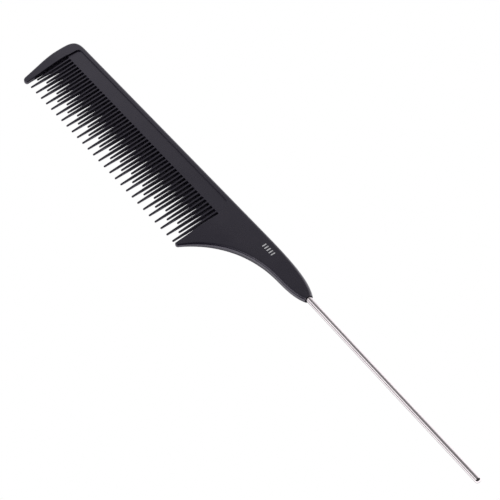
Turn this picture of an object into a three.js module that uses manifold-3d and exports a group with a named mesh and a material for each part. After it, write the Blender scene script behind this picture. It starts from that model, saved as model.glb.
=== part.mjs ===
// Rat tail comb: a one-piece moulded comb body with a steel tail pin set into the end of its handle.
//
// Millimetres, +Z up, lying on its flat underside. The layout frame below has X along the comb with 0
// at the first long tooth, Y from the long tooth tips (0) up to the spine, and Z = 0 halfway through
// the tooth tips. The underside is flat; the upper face carries the sunk band and slopes to the tips.
// At the end the whole layout is moved so that the origin is at the bottom centre of its box.

import * as THREE from "three";
import { mergeVertices } from "three/addons/utils/BufferGeometryUtils.js";
import Module from "manifold-3d";

const wasm = await Module();
wasm.setup();

// ---------------------------------------------------------------- driving dimensions

// teeth: every second tooth is long; between them short and medium teeth take turns
const PITCH = 1.8;                 // tooth to tooth
const LAST_TOOTH = 52;             // teeth run from number -1 (medium) through 0 (long) to 52 (long)
const MEDIUM_TIP_Y = 3.6;
const SHORT_TIP_Y = 5.4;
const ROOT_Y = 17.8;               // line where the teeth meet the spine
const TOOTH_EMBED = 0.6;           // the teeth are built this far into the spine
const TOOTH_UNDER = -0.2;          // lower side of the teeth, just clear of the table
const TOOTH_TIP_TOP = 0.17;        // upper side of a tooth at its tip
const TOOTH_ROOT_TOP = 1.58;       // and at its root, just under the recess floor
const LAND_ROOT_HALF = 0.32;       // half-width of the upper side
const LAND_TIP_HALF = 0.25;
const BELLY_ROOT_HALF = 0.44;      // half-width at the parting line, Z = 0
const BELLY_TIP_HALF = 0.36;
const FOOT_SLOPE = 0.05;           // the lower side is this much narrower to each side
const TIP_ROUND = 0.4;             // length of the rounded end
const TIP_ROUND_SCALE = 0.55;      // how much the very end is smaller than the section behind it

// plate: spine, guard and handle
const PLATE_UNDER = -0.3;          // underside
const PLATE_TOP = 2.15;            // upper face of the spine and handle
const PLATE_TIP_TOP = 0.8;         // upper face at the tips of the guard and of the handle's heel
const PLATE_TIP_Y = -0.5;
const WEDGE_TOP_Y = 13.4;          // below this the upper face slopes towards the tips
const EDGE_ROUND = 0.4;            // radius of the rounded edges, less than the recess is deep
const EDGE_ROUND_SHARE = 0.165;    // where the plate is thin, the radius as a share of its thickness
const EDGE_STEPS = 3;
const NECK_START_X = 118;          // beyond this the edges grow rounder towards the pin
const NECK_ROUND = 1.0;            // radius of the neck's edges at the mouth

const SPINE_Y = 24.72;
const FRONT_X = -8.6;
const GUARD_INNER_X = -3.3;
const HEEL_ROOT_X = 95.2;          // front edge of the handle at the tooth roots

// recess along the spine, in the upper face
const RECESS_DEPTH = 0.55;
const RECESS_TOP_Y = 23;
const RECESS_CORNER = 1.0;
const RECESS_SIDE_GAP = 0.1;       // keeps its side walls clear of the guard and of the handle's front
const RECESS_END_X = 94.3;
const RECESS_CHAMFER_X = 2.3;
const RECESS_CHAMFER_Y = 1.6;
const CUT_MARGIN = 1;              // how far cutting solids reach past the surface they cut

// tail pin and its socket
const PIN_RADIUS = 1.0;
const PIN_EXPOSED = 84.4;
const PIN_EMBED = 24;
const PIN_LEAN = THREE.MathUtils.degToRad(-0.86);   // the tail leans slightly to the tooth side
const PIN_AXIS_Y = 19.95;          // where the pin's axis leaves the handle
const PIN_AXIS_Z = (PLATE_TOP + PLATE_UNDER) / 2;
const PIN_TIP_ROUND = 0.8;
const PIN_TIP_FLAT = 0.25;         // radius of the flat left at the tip's end
const PIN_CHAMFER = 0.3;
const PIN_SIDES = 24;
const GROOVE_COUNT = 3;            // anchor grooves that lock the pin in the moulding
const GROOVE_SPACING = 5;
const GROOVE_WIDTH = 1.2;
const GROOVE_DEPTH = 0.25;
const SOCKET_GAP = 0.1;
const MOUTH_X = 142.2;
const MOUTH_HALF_WIDTH = 1.54;
const MOUTH_SPARE = 2.6;           // the neck is built this much too long and then trimmed at the mouth

// curves of the plate's outline: start, two control points, end; clockwise seen from above
const MOUTH_TOP = [MOUTH_X, PIN_AXIS_Y + MOUTH_HALF_WIDTH];
const MOUTH_UNDER = [MOUTH_X, PIN_AXIS_Y - MOUTH_HALF_WIDTH];
const NECK_UNDER_Y = 16.68;
const GUARD_TIP_CURVE = [[-2.4, 0.25], [-2.45, -0.7], [-4.6, -0.95], [-5.4, 0.55]];
const GUARD_OUTER_CURVE = [[-5.4, 0.55], [-6.6, 5.9], [FRONT_X, 11.3], [FRONT_X, 19.5]];
const FRONT_CORNER_CURVE = [[FRONT_X, 19.5], [FRONT_X, 23.3], [-6.9, SPINE_Y], [-2.5, SPINE_Y]];
const HANDLE_TOP_CURVE = [[108, SPINE_Y], [123.6, SPINE_Y], [136.2, SPINE_Y], MOUTH_TOP];
const NECK_UNDER_CURVE = [MOUTH_UNDER, [138.3, 16.6], [133.6, NECK_UNDER_Y], [129, NECK_UNDER_Y]];
const HANDLE_UNDER_CURVE = [[129, NECK_UNDER_Y], [114.6, NECK_UNDER_Y], [103.6, 10], [97.12, 0.6]];
const HEEL_TIP_CURVE = [[97.12, 0.6], [96.75, -0.42], [95.4, -0.5], [95.2, 0.3]];

// ---------------------------------------------------------------- helpers

const lerp = THREE.MathUtils.lerp;

// Turn a closed three.js geometry into a manifold solid, and back.
function solidOf(geometry) {
  const bare = geometry.clone();
  bare.deleteAttribute("normal");
  bare.deleteAttribute("uv");
  const merged = mergeVertices(bare, 1e-5);
  return new wasm.Manifold(new wasm.Mesh({
    numProp: 3,
    vertProperties: new Float32Array(merged.attributes.position.array),
    triVerts: new Uint32Array(merged.index.array),
  }));
}

function geometryOf(solid) {
  const mesh = solid.getMesh();
  const geometry = new THREE.BufferGeometry();
  geometry.setAttribute("position", new THREE.BufferAttribute(new Float32Array(mesh.vertProperties), 3));
  geometry.setIndex(new THREE.BufferAttribute(new Uint32Array(mesh.triVerts), 1));
  geometry.computeVertexNormals();
  return geometry;
}

// Closed body through a list of rings of equal length, with flat ends. Each ring runs anticlockwise
// as seen from the last ring.
function loft(rings) {
  const size = rings[0].length;
  const positions = rings.flat().flatMap((point) => point.toArray());
  const index = [];
  for (let ring = 0; ring < rings.length - 1; ring += 1) {
    for (let i = 0; i < size; i += 1) {
      const a = ring * size + i;
      const b = ring * size + ((i + 1) % size);
      index.push(a, b, b + size, a, b + size, a + size);
    }
  }
  const last = (rings.length - 1) * size;
  for (let i = 1; i < size - 1; i += 1) {
    index.push(0, i + 1, i);
    index.push(last, last + i, last + i + 1);
  }
  const geometry = new THREE.BufferGeometry();
  geometry.setAttribute("position", new THREE.Float32BufferAttribute(positions, 3));
  geometry.setIndex(index);
  return geometry;
}

// ---------------------------------------------------------------- plate outline

// The outline is put together in four stretches. Their joints lie on the lines where the upper face
// starts to slope, so that each part of it stays flat.
function curvePoints(corners, divisions) {
  const curve = new THREE.CubicBezierCurve(...corners.map((corner) => new THREE.Vector2(...corner)));
  return curve.getPoints(divisions);
}

// Split a run of points where it crosses a line of constant x or y, and add the crossing point.
function splitAt(points, axis, value) {
  const at = points.findIndex((point, i) => i > 0
    && (points[i - 1][axis] - value) * (point[axis] - value) <= 0);
  const before = points[at - 1];
  const after = points[at];
  const crossing = before.clone().lerp(after, (value - before[axis]) / (after[axis] - before[axis]));
  return [[...points.slice(0, at), crossing], [crossing.clone(), ...points.slice(at)]];
}

function outlineStretches() {
  const guardTip = curvePoints(GUARD_TIP_CURVE, 6);
  const guardOuter = curvePoints(GUARD_OUTER_CURVE, 12);
  const frontCorner = curvePoints(FRONT_CORNER_CURVE, 10);
  const handleTop = curvePoints(HANDLE_TOP_CURVE, 16);
  const neckEnd = [MOUTH_TOP, MOUTH_UNDER].map(([x, y]) => new THREE.Vector2(x + MOUTH_SPARE, y));
  const neckUnder = curvePoints(NECK_UNDER_CURVE, 8);
  const handleUnder = curvePoints(HANDLE_UNDER_CURVE, 18);
  const heelTip = curvePoints(HEEL_TIP_CURVE, 5);

  const [guardLower, guardUpper] = splitAt(guardOuter, "y", WEDGE_TOP_Y);
  const [underUpper, heelUnder] = splitAt(handleUnder, "y", WEDGE_TOP_Y);
  const [heelInner, heelRoot] = splitAt(
    [heelTip.at(-1), new THREE.Vector2(HEEL_ROOT_X, ROOT_Y)], "y", WEDGE_TOP_Y);
  const [guardRoot, guardInner] = splitAt(
    [new THREE.Vector2(GUARD_INNER_X, ROOT_Y), guardTip[0]], "y", WEDGE_TOP_Y);

  const joined = (...runs) => runs.flatMap((run, i) => (i === 0 ? run : run.slice(1)));
  return {
    guard: joined(guardInner, guardTip, guardLower),
    back: [...joined(guardUpper, frontCorner), ...handleTop, ...neckEnd, ...joined(neckUnder, underUpper)],
    heel: joined(heelUnder, heelTip, heelInner),
    roots: heelRoot.concat(guardRoot),
  };
}

// Height of the upper face at a point of the outline.
function plateTop(point) {
  const share = (WEDGE_TOP_Y - point.y) / (WEDGE_TOP_Y - PLATE_TIP_Y);
  return point.x > NECK_START_X ? PLATE_TOP
    : lerp(PLATE_TOP, PLATE_TIP_TOP, THREE.MathUtils.clamp(share, 0, 1));
}

function edgeRadius(point) {
  const thin = Math.min(EDGE_ROUND, EDGE_ROUND_SHARE * (plateTop(point) - PLATE_UNDER));
  const neck = (point.x - NECK_START_X) / (MOUTH_X - NECK_START_X);
  return lerp(thin, NECK_ROUND, THREE.MathUtils.clamp(neck, 0, 1));
}

// Move every point of a closed outline inwards along the bisector of its two edges, by a share of the
// edge radius there.
function insetOutline(outline, share) {
  return outline.map((point, i) => {
    const before = outline[(i + outline.length - 1) % outline.length];
    const after = outline[(i + 1) % outline.length];
    const inA = point.clone().sub(before).normalize();
    const inB = after.clone().sub(point).normalize();
    const normalA = new THREE.Vector2(inA.y, -inA.x);
    const normalB = new THREE.Vector2(inB.y, -inB.x);
    const bisector = normalA.clone().add(normalB).normalize();
    return point.clone().addScaledVector(bisector, share * edgeRadius(point) / bisector.dot(normalA));
  });
}

// The plate: the outline as a wall with rounded edges, closed by broad faces that are flat in parts.
function plateGeometry() {
  const stretches = outlineStretches();
  const names = Object.keys(stretches);
  const outline = [];
  const span = {};
  for (const name of names) {
    const points = stretches[name];
    const shared = outline.length > 0 && outline.at(-1).distanceTo(points[0]) < 1e-6;
    span[name] = [shared ? outline.length - 1 : outline.length, 0];
    outline.push(...(shared ? points.slice(1) : points));
    span[name][1] = outline.length - 1;
  }
  outline.pop();
  span.roots[1] = 0;

  const rings = [];
  for (const side of [-1, 1]) {
    for (let step = 0; step <= EDGE_STEPS; step += 1) {
      const turn = (Math.PI / 2) * ((side < 0 ? EDGE_STEPS - step : step) / EDGE_STEPS);
      const inset = insetOutline(outline, 1 - Math.cos(turn));
      const drop = 1 - Math.sin(turn);
      const face = (point) => (side < 0 ? PLATE_UNDER : plateTop(point));
      rings.push(inset.map((point, i) => new THREE.Vector3(point.x, point.y,
        face(outline[i]) - side * drop * edgeRadius(outline[i]))));
    }
  }

  const size = outline.length;
  const positions = rings.flat().flatMap((point) => point.toArray());
  const index = [];
  for (let ring = 0; ring < rings.length - 1; ring += 1) {
    for (let i = 0; i < size; i += 1) {
      const a = ring * size + i;
      const b = ring * size + ((i + 1) % size);
      index.push(a, b + size, b, a, a + size, b + size);
    }
  }

  const run = ([first, last]) => {
    const list = [first];
    while (list.at(-1) !== last) list.push((list.at(-1) + 1) % size);
    return list;
  };
  const faces = [[run(span.back), run(span.roots)].flat(), run(span.guard), run(span.heel)];
  const capBase = (rings.length - 1) * size;
  for (const face of faces) {
    const corners = face.map((i) => new THREE.Vector2(rings.at(-1)[i].x, rings.at(-1)[i].y));
    for (const [a, b, c] of THREE.ShapeUtils.triangulateShape(corners, [])) {
      const area = (corners[b].x - corners[a].x) * (corners[c].y - corners[a].y)
        - (corners[b].y - corners[a].y) * (corners[c].x - corners[a].x);
      const [p, q, r] = area > 0 ? [face[a], face[b], face[c]] : [face[a], face[c], face[b]];
      index.push(capBase + p, capBase + q, capBase + r, p, r, q);
    }
  }
  const geometry = new THREE.BufferGeometry();
  geometry.setAttribute("position", new THREE.Float32BufferAttribute(positions, 3));
  geometry.setIndex(index);
  return geometry;
}

// ---------------------------------------------------------------- teeth

// One tooth is a six-sided section, flat below and widest at the parting line, whose upper side slopes
// down to the tip.
function toothGeometry(x, tipY) {
  const section = (y, scale) => {
    const share = THREE.MathUtils.clamp((y - tipY) / (ROOT_Y - tipY), 0, 1);
    const top = scale * lerp(TOOTH_TIP_TOP, TOOTH_ROOT_TOP, share);
    const under = scale * TOOTH_UNDER;
    const land = scale * lerp(LAND_TIP_HALF, LAND_ROOT_HALF, share);
    const belly = scale * lerp(BELLY_TIP_HALF, BELLY_ROOT_HALF, share);
    const foot = belly - scale * FOOT_SLOPE;
    return [
      new THREE.Vector3(x - belly, y, 0), new THREE.Vector3(x - foot, y, under),
      new THREE.Vector3(x + foot, y, under), new THREE.Vector3(x + belly, y, 0),
      new THREE.Vector3(x + land, y, top), new THREE.Vector3(x - land, y, top),
    ];
  };
  return loft([section(ROOT_Y + TOOTH_EMBED, 1), section(ROOT_Y, 1), section(tipY + TIP_ROUND, 1),
    section(tipY, TIP_ROUND_SCALE)]);
}

function tipOf(number) {
  if (number % 2 === 0) return 0;
  return (number + 1) % 4 === 0 ? MEDIUM_TIP_Y : SHORT_TIP_Y;
}

// ---------------------------------------------------------------- recess

// Outline of the sunk band: open towards the teeth, round at the front, chamfered at the handle.
function recessGeometry() {
  const frontX = GUARD_INNER_X + RECESS_SIDE_GAP;
  const handleX = HEEL_ROOT_X - RECESS_SIDE_GAP;
  const shape = new THREE.Shape();
  shape.moveTo(frontX, ROOT_Y - CUT_MARGIN);
  shape.lineTo(frontX, RECESS_TOP_Y - RECESS_CORNER);
  shape.absarc(frontX + RECESS_CORNER, RECESS_TOP_Y - RECESS_CORNER, RECESS_CORNER,
    Math.PI, Math.PI / 2, true);
  shape.lineTo(RECESS_END_X - RECESS_CHAMFER_X, RECESS_TOP_Y);
  shape.lineTo(RECESS_END_X, RECESS_TOP_Y - RECESS_CHAMFER_Y);
  shape.lineTo(handleX, ROOT_Y);
  shape.lineTo(handleX, ROOT_Y - CUT_MARGIN);
  const depth = RECESS_DEPTH + CUT_MARGIN;
  const geometry = new THREE.ExtrudeGeometry(shape, { depth, bevelEnabled: false, curveSegments: 6 });
  return geometry.translate(0, 0, PLATE_TOP - RECESS_DEPTH);
}

// ---------------------------------------------------------------- pin and socket

// Profile of the pin, grown by a gap for the socket: radius, then distance along the axis from the
// mouth of the handle. It starts and ends on the axis.
function pinProfile(gap, farEnd) {
  const radius = PIN_RADIUS + gap;
  const inner = radius - GROOVE_DEPTH;
  const points = [[0, -PIN_EMBED - gap], [radius - PIN_CHAMFER, -PIN_EMBED - gap],
    [radius, -PIN_EMBED - gap + PIN_CHAMFER]];
  for (let i = GROOVE_COUNT; i >= 1; i -= 1) {
    const middle = -i * GROOVE_SPACING - GROOVE_SPACING / 2;
    const half = GROOVE_WIDTH / 2 - gap;
    points.push([radius, middle - half], [inner, middle - half], [inner, middle + half],
      [radius, middle + half]);
  }
  return points.concat(farEnd).map(([r, along]) => new THREE.Vector2(r, along));
}

function roundedTip() {
  const steps = 5;
  const points = [];
  for (let i = 0; i <= steps; i += 1) {
    const turn = (Math.PI / 2) * (i / steps);
    points.push([PIN_TIP_FLAT + (PIN_RADIUS - PIN_TIP_FLAT) * Math.cos(turn),
      PIN_EXPOSED - PIN_TIP_ROUND * (1 - Math.sin(turn))]);
  }
  return points.concat([[0, PIN_EXPOSED]]);
}

// A lathe turns about Y, so its axis is laid along +X and moved to the mouth of the handle.
const pinPlace = new THREE.Matrix4()
  .makeTranslation(MOUTH_X, PIN_AXIS_Y, PIN_AXIS_Z)
  .multiply(new THREE.Matrix4().makeRotationZ(PIN_LEAN - Math.PI / 2));

// What is cut from the neck: the pin's socket, and a disc that trims the end of the neck at the mouth.
function socketGeometry() {
  const wall = PIN_RADIUS + SOCKET_GAP;
  const reach = 2 * MOUTH_SPARE;
  const profile = pinProfile(SOCKET_GAP, [[wall, 0], [reach, 0], [reach, reach], [0, reach]]);
  return new THREE.LatheGeometry(profile, PIN_SIDES).applyMatrix4(pinPlace);
}

// ---------------------------------------------------------------- the two pieces

function combBody() {
  let body = solidOf(plateGeometry());
  for (let number = -1; number <= LAST_TOOTH; number += 1) {
    body = body.add(solidOf(toothGeometry(number * PITCH, tipOf(number))));
  }
  body = body.subtract(solidOf(recessGeometry())).subtract(solidOf(socketGeometry()));
  const material = new THREE.MeshStandardMaterial({ color: 0x37343c, roughness: 0.45, metalness: 0 });
  const mesh = new THREE.Mesh(geometryOf(body), material);
  mesh.name = "comb_body";
  return mesh;
}

function tailPin() {
  const material = new THREE.MeshStandardMaterial({ color: 0xcdcacc, roughness: 0.22, metalness: 1 });
  const mesh = new THREE.Mesh(new THREE.LatheGeometry(pinProfile(0, roundedTip()), PIN_SIDES), material);
  mesh.applyMatrix4(pinPlace);
  mesh.name = "tail_pin";
  return mesh;
}

const layout = new THREE.Group();
layout.add(combBody(), tailPin());

const box = new THREE.Box3().setFromObject(layout, true);
const middle = box.getCenter(new THREE.Vector3());
layout.position.set(-middle.x, -middle.y, -box.min.z);

const group = new THREE.Group();
group.add(layout);
export default group;
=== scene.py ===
# Rat tail comb: a moulded comb body with a steel tail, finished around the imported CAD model.
#
# The moulding is built again as one smooth closed surface over the CAD body, with rounded edges, drafted
# teeth and a softly stepped sunk band. The steel tail is turned again with more sides, and a small row
# of plain printed bars is added. Sizes are millimetres in the comb's layout frame: X along the comb with
# 0 at the first long tooth, Y from the long tooth tips (0) up to the spine, and Z = 0 at the parting
# line, about halfway through the tooth tips.

import math

import bmesh
import bpy
from mathutils import Matrix, Quaternion, Vector
from mathutils.geometry import delaunay_2d_cdt, interpolate_bezier
from mathutils.kdtree import KDTree


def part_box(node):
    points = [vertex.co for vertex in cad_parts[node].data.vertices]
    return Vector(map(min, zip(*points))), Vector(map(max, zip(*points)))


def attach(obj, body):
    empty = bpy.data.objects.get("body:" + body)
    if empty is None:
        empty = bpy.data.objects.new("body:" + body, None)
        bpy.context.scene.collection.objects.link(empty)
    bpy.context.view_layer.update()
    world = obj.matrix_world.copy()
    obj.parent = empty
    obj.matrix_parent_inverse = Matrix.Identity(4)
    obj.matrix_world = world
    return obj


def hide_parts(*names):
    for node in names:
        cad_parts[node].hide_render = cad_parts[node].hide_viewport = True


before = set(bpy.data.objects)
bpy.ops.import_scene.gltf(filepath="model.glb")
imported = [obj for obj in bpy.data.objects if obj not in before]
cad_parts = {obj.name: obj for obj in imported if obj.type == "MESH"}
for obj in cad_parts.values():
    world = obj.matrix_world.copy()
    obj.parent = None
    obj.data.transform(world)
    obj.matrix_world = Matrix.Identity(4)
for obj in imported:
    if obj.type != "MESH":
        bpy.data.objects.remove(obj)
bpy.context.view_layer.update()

MM = 0.001                    # a millimetre in the frame's metres

# ------------------------------------------------------------------------------ driving dimensions

# teeth: every second one is long; between them short and medium teeth take turns
PITCH = 1.8
FIRST_TOOTH = -1              # teeth are numbered from the first long one, 0
LAST_TOOTH = 52
LONG_TIP_Y = 0.0
MEDIUM_TIP_Y = 3.6
SHORT_TIP_Y = 5.4
ROOT_Y = 17.8                 # line where the teeth meet the spine
TOOTH_UNDER = -0.2            # lower side of the teeth, just clear of the table
TOOTH_TIP_TOP = 0.17          # upper side of a tooth at its tip
BELLY_ROOT_HALF = 0.46        # half-width at the parting line, Z = 0
BELLY_TIP_HALF = 0.38
ROOT_RUN = 1.5                # length of the step up from the underside to the teeth
ROOT_FILLET = 0.24            # corners of the gaps between the teeth
TOOTH_DRAFT = (0.04, 0.09)    # how far a side leans in from parting line to upper edge: at tip, at root
TOOTH_ROUND = (0.14, 0.12)    # radius of the upper tooth edges: at tip, at root
TOOTH_UNDER_ROUND = 0.1
TOOTH_BULGE = 0.04            # height of the upper side's bow over a straight slope, as a share of its rise
TOOTH_CROWDING = 1.3          # above 1, the points of a tooth's sides lie closer together at its root

# plate: spine, guard and handle
PLATE_UNDER = -0.3            # flat underside
PLATE_TOP = 2.15              # upper face of the spine and handle
PLATE_TIP_TOP = 0.8           # upper face at the tips of the guard and of the handle's heel
PLATE_TIP_Y = -0.5
WEDGE_TOP_Y = 13.4            # where the slope down to the tips starts
WEDGE_KNEE = 2.0              # half-length of the soft start of the slope to the tips
NECK_START_X = 118.0
NECK_ROUND = 1.1              # radius of the neck's edges at the mouth
PLATE_DRAFT = 0.05
OUTER_ROUND = 0.9             # radius of the outer upper edges
INNER_ROUND = 0.25            # radius of the upper edges next to the teeth
UNDER_ROUND = 0.3             # radius of the lower edges
ROUND_SPREAD = 1.4            # distance over which the radius grows from inner to outer
ROUND_SHARE = 0.5             # largest upper radius as a share of the thickness
EDGE_STEPS = 6
SUPPORT_SHARE = 0.2           # width of the ring that holds a face flat, as a share of the edge radius
SUPPORT_SPARE = 0.01          # what the upper face's ring has on top of that
FACE_SPACING = 1.6            # spacing of the points inside the faces
FACE_CLEARANCE = 0.55         # how far they keep from lines and rims, as a share of the spacing
MOULDING_SMOOTH = 35          # the moulding is shaded smooth across edges below this many degrees

SPINE_Y = 24.72
FRONT_X = -8.6
GUARD_INNER_X = -3.3
HEEL_ROOT_X = 95.2
GUARD_TIP_INNER = (-2.4, 0.25)
GUARD_TIP_OUTER = (-5.4, 0.55)
GUARD_SHOULDER = (FRONT_X, 19.5)
SPINE_START = (-2.5, SPINE_Y)
SPINE_END = (108, SPINE_Y)
NECK_UNDER_Y = 16.68
NECK_UNDER = (129.0, NECK_UNDER_Y)   # where the neck's lower side turns into the handle's
HEEL_TIP_OUTER = (97.12, 0.6)
HEEL_TIP_INNER = (95.2, 0.3)

# sunk band along the spine, in the upper face
BAND_DEPTH = 0.55
BAND_TOP_Y = 23.0
BAND_CORNER = 1.6
BAND_END_X = 94.3
BAND_CHAMFER_X = 2.3
BAND_CHAMFER_Y = 1.6
BAND_WALL = 0.1               # width over which the wall of the band drops
BAND_STOP = 0.45              # how far above the tooth gaps the lines along that wall end

# tail
PIN_RADIUS = 1.0
PIN_EXPOSED = 84.4
PIN_EMBED = 24.0
PIN_LEAN = math.radians(-0.86)
PIN_AXIS_Y = 19.95
PIN_AXIS_Z = (PLATE_TOP + PLATE_UNDER) / 2
PIN_TIP_ROUND = 0.8
PIN_TIP_FLAT = 0.25
PIN_CHAMFER = 0.3
PIN_TIP_SUPPORT = 0.2         # from the last ring of the shaft to the start of the tip
PIN_SIDES = 64
PIN_SMOOTH = 30               # the same for the tail and the printed bars
GROOVE_COUNT = 3
GROOVE_SPACING = 5.0
GROOVE_WIDTH = 1.2
GROOVE_DEPTH = 0.25
SOCKET_GAP = 0.1
MOUTH_X = 142.2
MOUTH_HALF_WIDTH = 1.54
MOUTH_SPARE = 2.6             # the neck is built this much too long and then trimmed at the mouth
MOUTH_TOP = (MOUTH_X, PIN_AXIS_Y + MOUTH_HALF_WIDTH)
MOUTH_UNDER = (MOUTH_X, PIN_AXIS_Y - MOUTH_HALF_WIDTH)
COUNTERSINK_DEPTH = 0.15
COUNTERSINK_WIDTH = 0.12

# curves of the outline: start, two control points and end
GUARD_TIP_CURVE = (GUARD_TIP_INNER, (-2.45, -0.7), (-4.6, -0.95), GUARD_TIP_OUTER)
GUARD_OUTER_CURVE = (GUARD_TIP_OUTER, (-6.6, 5.9), (FRONT_X, 11.3), GUARD_SHOULDER)
FRONT_CORNER_CURVE = (GUARD_SHOULDER, (FRONT_X, 23.3), (-6.9, SPINE_Y), SPINE_START)
HANDLE_TOP_CURVE = (SPINE_END, (123.6, SPINE_Y), (136.2, SPINE_Y), MOUTH_TOP)
NECK_UNDER_CURVE = (MOUTH_UNDER, (138.3, 16.6), (133.6, NECK_UNDER_Y), NECK_UNDER)
HANDLE_UNDER_CURVE = (NECK_UNDER, (114.6, NECK_UNDER_Y), (103.6, 10.0), HEEL_TIP_OUTER)
HEEL_TIP_CURVE = (HEEL_TIP_OUTER, (96.75, -0.42), (95.4, -0.5), HEEL_TIP_INNER)

# printed bars
BAR_COUNT = 5
BAR_SPACING = 1.2
BAR_WIDTH = 0.48
BAR_HEIGHT = 1.7
BAR_FIRST_X = 116.1
BAR_BASE_Y = 20.55
BAR_SUNK = 0.02               # how far the bars reach into the plastic
BAR_RAISED = 0.015            # how far they stand out of it

# camera: what it looks at, from where, and how it is turned, in millimetres and degrees
CAMERA_TARGET = (113.14, 17.49, 0)
CAMERA_AZIMUTH = -26.8
CAMERA_ELEVATION = 49.94
CAMERA_DISTANCE = 548.1
CAMERA_ROLL = -10.39
CAMERA_LENS = 122.4
CAMERA_SENSOR = 36

# floor and light: the floor's half-width and the lights' distance are in metres
STAGE_CENTRE = (109, 12)
FLOOR_HALF = 3.0
FLOOR_PAINTED_GLOW = 1.6         # painted light: glow of the open floor, as the comb sees it
FLOOR_SHADE_BLACK_BELOW = 0.45       # painted shade: to the comb, the floor is black where less than this share of it is open
FLOOR_SHADE_WITHIN = 6       # painted shade: how near the comb has to be to darken the floor
SOFTBOX_DISTANCE = 1.2
WORLD_LUMINANCE = 0.05

# the layout's zero point in the frame, from where the CAD body lies
body_low, body_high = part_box("comb_body")
LAYOUT_ZERO = Vector((
    body_low.x - FRONT_X * MM,
    body_high.y - SPINE_Y * MM,
    body_low.z - PLATE_UNDER * MM,
))


def place(x, y, z):
    """A layout point, in millimetres, as a frame point in metres."""
    return LAYOUT_ZERO + Vector((x, y, z)) * MM


def lerp(a, b, share):
    return a + (b - a) * share


def clamp(value):
    return min(1.0, max(0.0, value))


def smooth(value):
    """0 to 1 with a soft start and end."""
    share = clamp(value)
    return share * share * (3 - 2 * share)


def soft_ramp(distance, knee):
    """0 below -knee, distance above +knee, and a smooth bend between."""
    if distance <= -knee:
        return 0.0
    if distance >= knee:
        return distance
    return (distance + knee) ** 2 / (4 * knee)


# ------------------------------------------------------------------------------ shape of the faces

def guard_inner_x(y):
    """The guard's side next to the teeth."""
    return lerp(GUARD_INNER_X, GUARD_TIP_INNER[0], clamp((ROOT_Y - y) / (ROOT_Y - GUARD_TIP_INNER[1])))


def heel_inner_x(y):
    """The heel's side next to the teeth."""
    return lerp(HEEL_ROOT_X, HEEL_TIP_INNER[0], clamp((ROOT_Y - y) / (ROOT_Y - HEEL_TIP_INNER[1])))


def band_inset(x, y):
    """Distance in from the rim of the sunk band and tooth row; negative outside it."""
    front = x - guard_inner_x(y)
    top = BAND_TOP_Y - y
    if front < BAND_CORNER and top < BAND_CORNER:
        corner = BAND_CORNER - math.hypot(BAND_CORNER - front, BAND_CORNER - top)
        front, top = corner, corner
    if y < ROOT_Y:
        return min(front, heel_inner_x(y) - x)
    side_run = BAND_TOP_Y - BAND_CHAMFER_Y - ROOT_Y
    side_shift = HEEL_ROOT_X - BAND_END_X
    side = ((HEEL_ROOT_X - x) * side_run - (y - ROOT_Y) * side_shift) / math.hypot(side_run, side_shift)
    chamfer_start_x = BAND_END_X - BAND_CHAMFER_X
    chamfer = ((chamfer_start_x - x) * BAND_CHAMFER_Y + top * BAND_CHAMFER_X) / math.hypot(
        BAND_CHAMFER_X, BAND_CHAMFER_Y)
    return min(front, top, side, chamfer)


def plate_top(y):
    """Height of the plate's upper face: level, and sloping down to the tips of the guard and heel."""
    slope = soft_ramp(WEDGE_TOP_Y - y, WEDGE_KNEE) / (WEDGE_TOP_Y - PLATE_TIP_Y)
    return lerp(PLATE_TOP, PLATE_TIP_TOP, clamp(slope))


def tooth_top(x, y):
    """Height of the nearest tooth's upper side: level with the band's floor at the root."""
    tip = tip_of(min(LAST_TOOTH, max(FIRST_TOOTH, round(x / PITCH))))
    share = clamp((y - tip) / (ROOT_Y - tip))
    return lerp(TOOTH_TIP_TOP, PLATE_TOP - BAND_DEPTH, share + 4 * TOOTH_BULGE * share * (1 - share))


def in_tooth_row(x, y):
    """0 on the plate, 1 in the sunk band and the tooth row, and between along the band's wall."""
    return smooth(band_inset(x, y) / BAND_WALL)


def top_at(x, y):
    """Height of the moulding's upper side at a point."""
    return lerp(plate_top(y), tooth_top(x, y), in_tooth_row(x, y))


def under_at(x, y):
    """Height of the moulding's lower side: the flat underside, and the teeth just above it."""
    return lerp(PLATE_UNDER, TOOTH_UNDER, in_tooth_row(x, y) * smooth((ROOT_Y - y) / ROOT_RUN))


def edge_at(x, y):
    """(draft, upper edge radius, lower edge radius) of the side wall at a point of the outline."""
    inset = band_inset(x, y)
    thickness = plate_top(y) - PLATE_UNDER
    growth = smooth(-inset / ROUND_SPREAD)
    upper = min(lerp(INNER_ROUND, OUTER_ROUND, growth), ROUND_SHARE * thickness)
    lower = min(UNDER_ROUND, ROUND_SHARE / 2 * thickness)
    neck = smooth((x - NECK_START_X) / (MOUTH_X - NECK_START_X))
    tip = tip_of(round(x / PITCH))
    share = clamp((y - tip) / (ROOT_Y - tip))
    tooth = smooth(inset / (2 * BAND_WALL))
    return (lerp(PLATE_DRAFT, lerp(*TOOTH_DRAFT, share), tooth),
            lerp(lerp(upper, NECK_ROUND, neck), lerp(*TOOTH_ROUND, share), tooth),
            lerp(lerp(lower, NECK_ROUND, neck), TOOTH_UNDER_ROUND, tooth))


# ------------------------------------------------------------------------------ outline

def bezier(curve, steps):
    """Points of a cubic curve, without its end point."""
    return interpolate_bezier(*(Vector(p) for p in curve), steps + 1)[:-1]


def straight(start, end, steps):
    """Points of a straight stretch, without its end point."""
    return [Vector(start).lerp(Vector(end), i / steps) for i in range(steps)]


def arc(centre, radius, start, end, steps):
    """Points of an arc between two angles in degrees, with both ends."""
    turns = (math.radians(lerp(start, end, i / steps)) for i in range(steps + 1))
    return [Vector((centre[0] + radius * math.cos(t), centre[1] + radius * math.sin(t))) for t in turns]


def tip_of(number):
    """Where a tooth ends."""
    if number % 2 == 0:
        return LONG_TIP_Y
    return MEDIUM_TIP_Y if (number + 1) % 4 == 0 else SHORT_TIP_Y


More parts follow.
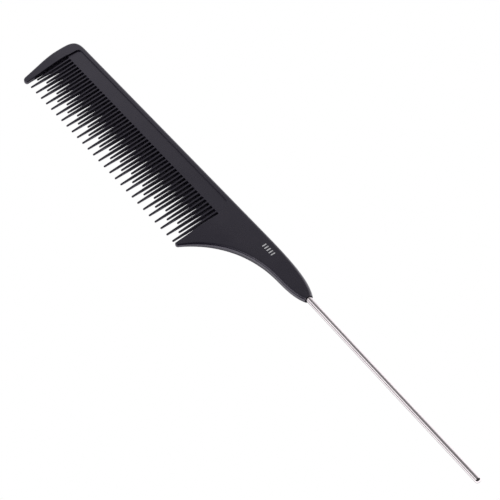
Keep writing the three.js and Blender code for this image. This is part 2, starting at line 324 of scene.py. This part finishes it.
def belly_half(y, tip):
    """Half-width of a tooth at the parting line."""
    return lerp(BELLY_TIP_HALF, BELLY_ROOT_HALF, clamp((y - tip) / (ROOT_Y - tip)))


def tooth_outline(number):
    """Down the right side of a tooth, round its tip and up its left side."""
    x = number * PITCH
    tip = tip_of(number)
    top = ROOT_Y - ROOT_FILLET
    tip_half = belly_half(tip, tip)
    bottom = tip + tip_half
    steps = 9
    heights = [lerp(top, bottom, (i / steps) ** TOOTH_CROWDING) for i in range(1, steps)]
    right = [Vector((x + belly_half(y, tip), y)) for y in heights]
    left = [Vector((x - belly_half(y, tip), y)) for y in reversed(heights)]
    return right + arc((x, bottom), tip_half, 0, -180, steps=8) + left


def gap_root(right_x, left_x, steps):
    """The filleted end of a gap, from the wall at right_x to the wall at left_x."""
    y = ROOT_Y - ROOT_FILLET
    right = arc((right_x - ROOT_FILLET, y), ROOT_FILLET, 0, 90, steps=4)
    left = arc((left_x + ROOT_FILLET, y), ROOT_FILLET, 90, 180, steps=4)
    return right + straight(right[-1], left[0], steps)[1:] + left


def tooth_row():
    """The outline from the heel's inner wall to the guard's, along all the teeth and gaps."""
    points = []
    wall_x = HEEL_ROOT_X
    for number in range(LAST_TOOTH, FIRST_TOOTH - 1, -1):
        next_to_heel = number == LAST_TOOTH
        points += gap_root(wall_x, number * PITCH + BELLY_ROOT_HALF, steps=5 if next_to_heel else 1)
        points += tooth_outline(number)
        wall_x = number * PITCH - BELLY_ROOT_HALF
    return points + gap_root(wall_x, GUARD_INNER_X, steps=5)


def body_outline():
    """The closed outline at the parting line, clockwise seen from above."""
    wall_top_y = ROOT_Y - ROOT_FILLET
    end_x = MOUTH_X + MOUTH_SPARE
    return (
        straight((GUARD_INNER_X, wall_top_y), GUARD_TIP_INNER, steps=14)[1:]
        + bezier(GUARD_TIP_CURVE, steps=12)
        + bezier(GUARD_OUTER_CURVE, steps=20)
        + bezier(FRONT_CORNER_CURVE, steps=16)
        + straight(SPINE_START, SPINE_END, steps=72)
        + bezier(HANDLE_TOP_CURVE, steps=30)
        + [Vector(p) for p in (MOUTH_TOP, (end_x, MOUTH_TOP[1]), (end_x, MOUTH_UNDER[1]))]
        + bezier(NECK_UNDER_CURVE, steps=14)
        + bezier(HANDLE_UNDER_CURVE, steps=36)
        + bezier(HEEL_TIP_CURVE, steps=12)
        + straight(HEEL_TIP_INNER, (HEEL_ROOT_X, wall_top_y), steps=14)
        + tooth_row()
    )


# ------------------------------------------------------------------------------ the moulding's mesh

def inward_directions(outline):
    """For each point the direction to move it in by, scaled so that both its edges move in by 1."""
    directions = []
    for i, point in enumerate(outline):
        along_a = (point - outline[i - 1]).normalized()
        along_b = (outline[(i + 1) % len(outline)] - point).normalized()
        normal_a = Vector((along_a.y, -along_a.x))
        normal_b = Vector((along_b.y, -along_b.x))
        bisector = (normal_a + normal_b).normalized()
        directions.append(bisector / max(0.5, bisector.dot(normal_a)))
    return directions


def wall_profile(draft, upper, lower):
    """Side wall from underside to upper face, as (side, inset, distance from that side's face)."""
    profile = [(-1, lower * (1 + SUPPORT_SHARE), 0.0)]
    for step in range(EDGE_STEPS, -1, -1):
        turn = math.pi / 2 * step / EDGE_STEPS
        profile.append((-1, lower * (1 - math.cos(turn)), lower * (1 - math.sin(turn))))
    for step in range(EDGE_STEPS + 1):
        turn = math.pi / 2 * step / EDGE_STEPS
        profile.append((1, draft + upper * (1 - math.cos(turn)), upper * (1 - math.sin(turn))))
    return profile + [(1, draft + upper * (1 + SUPPORT_SHARE) + SUPPORT_SPARE, 0.0)]


def wall_rings(outline):
    """Rings of 3-D points from the rim of the underside, round the side wall, to that of the upper face."""
    directions = inward_directions(outline)
    profiles = [wall_profile(*edge_at(*point)) for point in outline]
    rings = []
    for level in range(len(profiles[0])):
        ring = []
        for point, direction, profile in zip(outline, directions, profiles):
            side, inset, depth = profile[level]
            at = point + direction * inset
            height = top_at(*at) - depth if side > 0 else under_at(*at) + depth
            ring.append(Vector((at.x, at.y, height)))
        rings.append(ring)
    return rings


def crossing(a, b, c, d):
    """Where the line through a and b meets the line through c and d."""
    along = b - a
    other = d - c
    share = (c - a).cross(other) / along.cross(other)
    return a + along * share


def band_line(inset):
    """A line that follows the wall of the sunk band at an inset, stopping short of the tooth gaps."""
    stop_y = ROOT_Y + BAND_STOP
    top_y = BAND_TOP_Y - inset
    front_x = GUARD_INNER_X + inset
    corner_at = (GUARD_INNER_X + BAND_CORNER, BAND_TOP_Y - BAND_CORNER)
    side_start = Vector((HEEL_ROOT_X, ROOT_Y))
    side_end = Vector((BAND_END_X, BAND_TOP_Y - BAND_CHAMFER_Y))
    chamfer_end = Vector((BAND_END_X - BAND_CHAMFER_X, BAND_TOP_Y))

    def moved_in(a, b):
        along = (b - a).normalized()
        shift = Vector((-along.y, along.x)) * inset
        return a + shift, b + shift

    side = moved_in(side_start, side_end)
    chamfer = moved_in(side_end, chamfer_end)
    knee = crossing(*side, *chamfer)
    top_end = crossing(*chamfer, Vector((0, top_y)), Vector((1, top_y)))
    foot = side[0].lerp(knee, (stop_y - side[0].y) / (knee.y - side[0].y))
    return (
        straight((front_x, stop_y), (front_x, corner_at[1]), steps=3)
        + arc(corner_at, BAND_CORNER - inset, 180, 90, steps=8)
        + straight((corner_at[0], top_y), top_end, steps=60)[1:]
        + straight(top_end, knee, steps=3)
        + straight(knee, foot, steps=3)
        + [foot]
    )


def face_points(rim, lines):
    """Points inside a face, on a grid that keeps clear of the rim and of the band's lines."""
    taken = rim + [point for line in lines for point in line]
    tree = KDTree(len(taken))
    for i, point in enumerate(taken):
        tree.insert(Vector((point.x, point.y, 0)), i)
    tree.balance()
    columns = range(int(FRONT_X / FACE_SPACING), int((MOUTH_X + MOUTH_SPARE) / FACE_SPACING) + 1)
    rows = range(int(PLATE_TIP_Y / FACE_SPACING), int(SPINE_Y / FACE_SPACING) + 1)
    points = []
    for i in columns:
        for j in rows:
            point = Vector((i * FACE_SPACING, j * FACE_SPACING, 0))
            distance = tree.find(point)[2]
            among_teeth = band_inset(point.x, point.y) > 0 and point.y < ROOT_Y
            if distance > FACE_CLEARANCE * FACE_SPACING and not among_teeth:
                points.append(point.to_2d())
    return points


def face_triangles(rim, lines):
    """(extra points, triangles) that fill the rim; triangle corners count the rim first."""
    points = list(rim)
    edges = [(i, (i + 1) % len(rim)) for i in range(len(rim))]
    for line in lines:
        first = len(points)
        points += line
        edges += [(i, i + 1) for i in range(first, first + len(line) - 1)]
    points += face_points(rim, lines)
    only_inside = 1
    merge_within = 1e-5
    corners, _, triangles, origins, _, _ = delaunay_2d_cdt(points, edges, [], only_inside, merge_within)
    number = {}
    extra = []
    for i, origin in enumerate(origins):
        from_rim = [k for k in origin if k < len(rim)]
        if from_rim:
            number[i] = from_rim[0]
    for i in sorted({k for triangle in triangles for k in triangle} - set(number)):
        number[i] = len(rim) + len(extra)
        extra.append(corners[i])
    return extra, [[number[i] for i in triangle] for triangle in triangles]


def moulding_mesh():
    """The whole moulding without its socket: underside, side wall and upper face."""
    rings = wall_rings(body_outline())
    size = len(rings[0])
    points = [point for ring in rings for point in ring]
    faces = []
    for level in range(len(rings) - 1):
        for i in range(size):
            a = level * size + i
            b = level * size + (i + 1) % size
            faces.append([b, a, a + size, b + size])
    band_lines = [band_line(BAND_WALL * share) for share in (0.0, 0.25, 0.5, 0.75, 1.0)]
    sides = ((rings[0], 0, [], under_at), (rings[-1], len(points) - size, band_lines, top_at))
    for ring, first, lines, height in sides:
        extra, triangles = face_triangles([point.to_2d() for point in ring], lines)
        number = list(range(first, first + size)) + list(range(len(points), len(points) + len(extra)))
        points += [Vector((p.x, p.y, height(*p))) for p in extra]
        faces += [[number[i] for i in triangle] for triangle in triangles]
    return points, faces


def make_object(name, points, faces, smooth_below):
    """An object from layout points, with its normals out and edges sharper than an angle kept sharp."""
    mesh = bpy.data.meshes.new(name)
    mesh.from_pydata([place(*point) for point in points], [], faces)
    work = bmesh.new()
    work.from_mesh(mesh)
    bmesh.ops.recalc_face_normals(work, faces=work.faces)
    work.to_mesh(mesh)
    work.free()
    mesh.shade_smooth()
    mesh.set_sharp_from_angle(angle=math.radians(smooth_below))
    piece = bpy.data.objects.new(name, mesh)
    bpy.context.scene.collection.objects.link(piece)
    return piece


# ------------------------------------------------------------------------------ turned shapes

def turned(profile, sides):
    """Points and faces of a profile of (radius, distance) turned round the tail's axis."""
    axis = Matrix.Rotation(PIN_LEAN, 3, "Z")
    root = Vector((MOUTH_X, PIN_AXIS_Y, PIN_AXIS_Z))

    def on_axis(radius, along, turn):
        return root + axis @ Vector((along, radius * math.cos(turn), radius * math.sin(turn)))

    points = [on_axis(0, profile[0][1], 0)]
    for radius, along in profile[1:-1]:
        points += [on_axis(radius, along, 2 * math.pi * i / sides) for i in range(sides)]
    points.append(on_axis(0, profile[-1][1], 0))
    faces = []
    last_ring = 1 + (len(profile) - 3) * sides
    for i in range(sides):
        j = (i + 1) % sides
        faces.append([0, 1 + j, 1 + i])
        faces.append([last_ring + i, last_ring + j, len(points) - 1])
        for ring in range(1, last_ring, sides):
            faces.append([ring + i, ring + j, ring + j + sides, ring + i + sides])
    return points, faces


def buried_profile(gap):
    """The buried end of the tail with its anchor grooves, grown by a gap for the socket."""
    radius = PIN_RADIUS + gap
    end = -PIN_EMBED - gap
    profile = [(0, end), (radius - PIN_CHAMFER, end), (radius, end + PIN_CHAMFER)]
    half = GROOVE_WIDTH / 2 - gap
    for number in range(GROOVE_COUNT, 0, -1):
        middle = -(number + 0.5) * GROOVE_SPACING
        profile += [(radius, middle - half), (radius - GROOVE_DEPTH, middle - half),
                    (radius - GROOVE_DEPTH, middle + half), (radius, middle + half)]
    return profile


def tail_profile():
    """The whole tail: buried end, long shaft and rounded tip."""
    steps = 8
    shaft_end = PIN_EXPOSED - PIN_TIP_ROUND
    shaft = [(PIN_RADIUS, lerp(0, shaft_end - PIN_TIP_SUPPORT, i / steps)) for i in range(steps + 1)]
    tip = []
    for i in range(steps + 1):
        turn = math.pi / 2 * i / steps
        radius = lerp(PIN_TIP_FLAT, PIN_RADIUS, math.cos(turn))
        tip.append((radius, shaft_end + PIN_TIP_ROUND * math.sin(turn)))
    return buried_profile(0) + shaft + tip + [(0, PIN_EXPOSED)]


def mouth_cutter():
    """What is cut from the neck: the socket, a small countersink and all that lies past the mouth."""
    wall = PIN_RADIUS + SOCKET_GAP
    reach = 2 * MOUTH_SPARE
    profile = buried_profile(SOCKET_GAP)
    profile += [(wall, -COUNTERSINK_DEPTH), (wall + COUNTERSINK_WIDTH, 0)]
    profile += [(reach, 0), (reach, reach), (0, reach)]
    return make_object("mouth_cutter", *turned(profile, PIN_SIDES), PIN_SMOOTH)


def cut(piece, tool):
    """Cuts the tool out of the piece and removes the tool."""
    step = piece.modifiers.new("cut", "BOOLEAN")
    step.operation = "DIFFERENCE"
    step.solver = "EXACT"
    step.object = tool
    evaluated = piece.evaluated_get(bpy.context.evaluated_depsgraph_get())
    cut_mesh = bpy.data.meshes.new_from_object(evaluated)
    piece.modifiers.clear()
    piece.data = cut_mesh
    cut_mesh.shade_smooth()
    cut_mesh.set_sharp_from_angle(angle=math.radians(MOULDING_SMOOTH))
    bpy.data.objects.remove(tool)


# ------------------------------------------------------------------------------ printed mark

def print_bars():
    """A short row of plain upright bars printed on the handle."""
    radius = BAR_WIDTH / 2
    points = []
    faces = []
    for number in range(BAR_COUNT):
        x = BAR_FIRST_X + number * BAR_SPACING
        ring = arc((x, BAR_BASE_Y + BAR_HEIGHT - radius), radius, 0, 180, steps=4)
        ring += arc((x, BAR_BASE_Y + radius), radius, 180, 360, steps=4)
        first = len(points)
        size = len(ring)
        for lift in (-BAR_SUNK, BAR_RAISED):
            points += [Vector((p.x, p.y, PLATE_TOP + lift)) for p in ring]
        for i in range(size):
            j = (i + 1) % size
            faces.append([first + i, first + j, first + j + size, first + i + size])
        faces.append([first + i for i in reversed(range(size))])
        faces.append([first + size + i for i in range(size)])
    return points, faces


# ------------------------------------------------------------------------------ materials

def new_material(name, colour, roughness, metallic=0.0):
    """A principled material, and its nodes for building more onto."""
    material = bpy.data.materials.new(name)
    material.use_nodes = True
    shader = material.node_tree.nodes["Principled BSDF"]
    shader.inputs["Base Color"].default_value = (*colour, 1)
    shader.inputs["Roughness"].default_value = roughness
    shader.inputs["Metallic"].default_value = metallic
    return material, material.node_tree, shader


def add_node(tree, kind, **settings):
    """A node with settings of its own, or values for its inputs."""
    node = tree.nodes.new(kind)
    for key, value in settings.items():
        if hasattr(node, key):
            setattr(node, key, value)
        else:
            node.inputs[key].default_value = value
    return node


def noise(tree, feature, detail=3.0, stretch=(1, 1, 1)):
    """Noise with features of about that many millimetres, stretched along the object's axes."""
    coordinates = add_node(tree, "ShaderNodeTexCoord")
    mapping = add_node(tree, "ShaderNodeMapping")
    mapping.inputs["Scale"].default_value = [1 / (feature * MM * s) for s in stretch]
    texture = add_node(tree, "ShaderNodeTexNoise", Scale=1.0, Detail=detail)
    tree.links.new(coordinates.outputs["Object"], mapping.inputs["Vector"])
    tree.links.new(mapping.outputs["Vector"], texture.inputs["Vector"])
    return texture.outputs["Fac"]


def ranged(tree, value, low, high, from_low=0.3, from_high=0.7):
    """A value from one range, by default that of most noise, brought to another."""
    node = add_node(tree, "ShaderNodeMapRange")
    limits = {"From Min": from_low, "From Max": from_high, "To Min": low, "To Max": high}
    for key, limit in limits.items():
        node.inputs[key].default_value = limit
    tree.links.new(value, node.inputs["Value"])
    return node.outputs["Result"]


def mixed(tree, share, colour_a, colour_b):
    """A colour between two, by a share."""
    node = add_node(tree, "ShaderNodeMix", data_type="RGBA", A=(*colour_a, 1), B=(*colour_b, 1))
    tree.links.new(share, node.inputs["Factor"])
    return node.outputs["Result"]


def bump(tree, shader, height, distance, strength):
    """Fine relief from a height, at most that many millimetres deep."""
    node = add_node(tree, "ShaderNodeBump", Distance=distance * MM, Strength=strength)
    tree.links.new(height, node.inputs["Height"])
    tree.links.new(node.outputs["Normal"], shader.inputs["Normal"])


def plastic_material():
    """Near-black moulded plastic: satin, with a fine grain and a slightly uneven sheen and tone."""
    material, tree, shader = new_material("moulded_black_plastic", (0.012, 0.010, 0.019), roughness=0.27)
    shader.inputs["Specular Tint"].default_value = (0.91, 0.86, 1.0, 1)
    shader.inputs["IOR"].default_value = 1.6
    shader.inputs["Specular IOR Level"].default_value = 0.75
    sheen = ranged(tree, noise(tree, feature=12, detail=4), low=0.23, high=0.31)
    patchy = ranged(tree, noise(tree, feature=4, detail=5), low=0, high=1)
    tone = mixed(tree, patchy, (0.010, 0.0085, 0.017), (0.014, 0.0115, 0.021))
    tree.links.new(sheen, shader.inputs["Roughness"])
    tree.links.new(tone, shader.inputs["Base Color"])
    bump(tree, shader, noise(tree, feature=0.18, detail=2), distance=0.01, strength=0.1)
    return material


def steel_material():
    """Drawn and polished steel wire, with faint lines along it."""
    colour = (0.72, 0.665, 0.69)
    material, tree, shader = new_material("polished_steel", colour, roughness=0.16, metallic=1.0)
    lines = noise(tree, feature=0.06, detail=3, stretch=(120, 1, 1))
    patchy = ranged(tree, noise(tree, feature=3, detail=4, stretch=(4, 1, 1)), low=0, high=1)
    tone = mixed(tree, patchy, (0.68, 0.62, 0.65), (0.76, 0.71, 0.73))
    tree.links.new(ranged(tree, lines, low=0.1, high=0.2), shader.inputs["Roughness"])
    tree.links.new(tone, shader.inputs["Base Color"])
    bump(tree, shader, lines, distance=0.004, strength=0.3)
    return material


def ink_material():
    """Thin off-white printing ink, a little uneven."""
    material, tree, shader = new_material("printing_ink", (0.7, 0.7, 0.72), roughness=0.55)
    patchy = ranged(tree, noise(tree, feature=0.4, detail=3), low=0, high=1)
    tone = mixed(tree, patchy, (0.58, 0.58, 0.6), (0.84, 0.84, 0.86))
    tree.links.new(tone, shader.inputs["Base Color"])
    return material


def floor_material():
    """Floor, evenly white to the camera. To the comb it is a glowing floor, painted light, with painted
    shade: darker where the comb itself is near it.
    """
    material = bpy.data.materials.new("white_sweep")
    material.use_nodes = True
    tree = material.node_tree
    tree.nodes.remove(tree.nodes["Principled BSDF"])
    # painted shade: ambient occlusion darkens the floor that the comb sees, where the comb is near
    painted_shade_ao = add_node(tree, "ShaderNodeAmbientOcclusion", samples=12, Distance=FLOOR_SHADE_WITHIN * MM)
    # painted light: for the comb the floor glows in place of a lit floor
    reflected = add_node(tree, "ShaderNodeEmission")
    shade = ranged(tree, painted_shade_ao.outputs["AO"], 0, FLOOR_PAINTED_GLOW, from_low=FLOOR_SHADE_BLACK_BELOW, from_high=1)
    tree.links.new(shade, reflected.inputs["Strength"])
    white = add_node(tree, "ShaderNodeEmission", Strength=1.0)
    path = add_node(tree, "ShaderNodeLightPath")
    either = add_node(tree, "ShaderNodeMixShader")
    share, seen_by_comb, seen_directly = either.inputs
    tree.links.new(path.outputs["Is Camera Ray"], share)
    tree.links.new(reflected.outputs["Emission"], seen_by_comb)
    tree.links.new(white.outputs["Emission"], seen_directly)
    tree.links.new(either.outputs["Shader"], tree.nodes["Material Output"].inputs["Surface"])
    return material


# ------------------------------------------------------------------------------ pieces

def add_comb():
    comb = make_object("comb_moulding", *moulding_mesh(), MOULDING_SMOOTH)
    cut(comb, mouth_cutter())
    comb.data.materials.append(plastic_material())
    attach(comb, "root")
    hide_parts("comb_body")


def add_tail():
    tail = make_object("steel_tail", *turned(tail_profile(), PIN_SIDES), PIN_SMOOTH)
    tail.data.materials.append(steel_material())
    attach(tail, "root")
    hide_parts("tail_pin")


def add_print():
    bars = make_object("printed_bars", *print_bars(), PIN_SMOOTH)
    bars.data.materials.append(ink_material())
    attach(bars, "root")


# ------------------------------------------------------------------------------ camera, floor, light

def direction(azimuth, elevation):
    """Unit vector at degrees from +X towards +Y, and above the floor."""
    a = math.radians(azimuth)
    e = math.radians(elevation)
    return Vector((math.cos(a) * math.cos(e), math.sin(a) * math.cos(e), math.sin(e)))


def add_camera():
    back = direction(CAMERA_AZIMUTH, CAMERA_ELEVATION)
    roll = Quaternion((0, 0, 1), math.radians(CAMERA_ROLL))
    camera = bpy.data.objects.new("camera", bpy.data.cameras.new("camera"))
    camera.data.lens = CAMERA_LENS
    camera.data.sensor_width = CAMERA_SENSOR
    camera.data.clip_start = 0.01
    camera.data.clip_end = 20
    camera.location = place(*CAMERA_TARGET) + back * CAMERA_DISTANCE * MM
    camera.rotation_mode = "QUATERNION"
    camera.rotation_quaternion = back.to_track_quat("Z", "Y") @ roll
    bpy.context.scene.collection.objects.link(camera)
    bpy.context.scene.camera = camera


def add_floor():
    centre = place(*STAGE_CENTRE, PLATE_UNDER)
    turns = ((-1, -1), (1, -1), (1, 1), (-1, 1))
    corners = [centre + Vector((x * FLOOR_HALF, y * FLOOR_HALF, 0)) for x, y in turns]
    mesh = bpy.data.meshes.new("floor")
    mesh.from_pydata(corners, [], [(0, 1, 2, 3)])
    mesh.materials.append(floor_material())
    floor = bpy.data.objects.new("floor", mesh)
    bpy.context.scene.collection.objects.link(floor)


def add_softbox(name, azimuth, elevation, width, height, luminance, reflected=True):
    """A rectangular soft light that faces the comb, in degrees and metres, seen in reflections or not."""
    light = bpy.data.lights.new(name, "AREA")
    light.shape = "RECTANGLE"
    light.size = width
    light.size_y = height
    light.energy = luminance * math.pi * width * height
    towards = direction(azimuth, elevation)
    softbox = bpy.data.objects.new(name, light)
    softbox.location = place(*STAGE_CENTRE, 0) + towards * SOFTBOX_DISTANCE
    softbox.rotation_mode = "QUATERNION"
    softbox.rotation_quaternion = towards.to_track_quat("Z", "Y")
    softbox.visible_camera = False
    softbox.visible_glossy = reflected
    bpy.context.scene.collection.objects.link(softbox)


def add_light():
    world = bpy.data.worlds.new("studio")
    world.use_nodes = True
    background = world.node_tree.nodes["Background"]
    background.inputs["Color"].default_value = (1, 1, 1, 1)
    background.inputs["Strength"].default_value = WORLD_LUMINANCE
    bpy.context.scene.world = world
    # each light's azimuth, elevation, width, height and luminance
    add_softbox("key", 222, 40, 0.6, 0.5, 8, reflected=False)
    add_softbox("softbox_back", 156, 22, 1.4, 0.9, 0.56)
    add_softbox("softbox_tail", 110, 20, 0.55, 0.9, 1.15)
    add_softbox("softbox_high", 168, 58, 1.7, 0.7, 0.22)
    add_softbox("softbox_side", 234, 36, 0.9, 0.6, 1.35)


def set_view():
    """Colours as they are, without a film look."""
    view = bpy.context.scene.view_settings
    view.view_transform = "Standard"
    view.look = "None"


add_camera()
add_light()
add_floor()
add_comb()
add_tail()
add_print()
set_view()
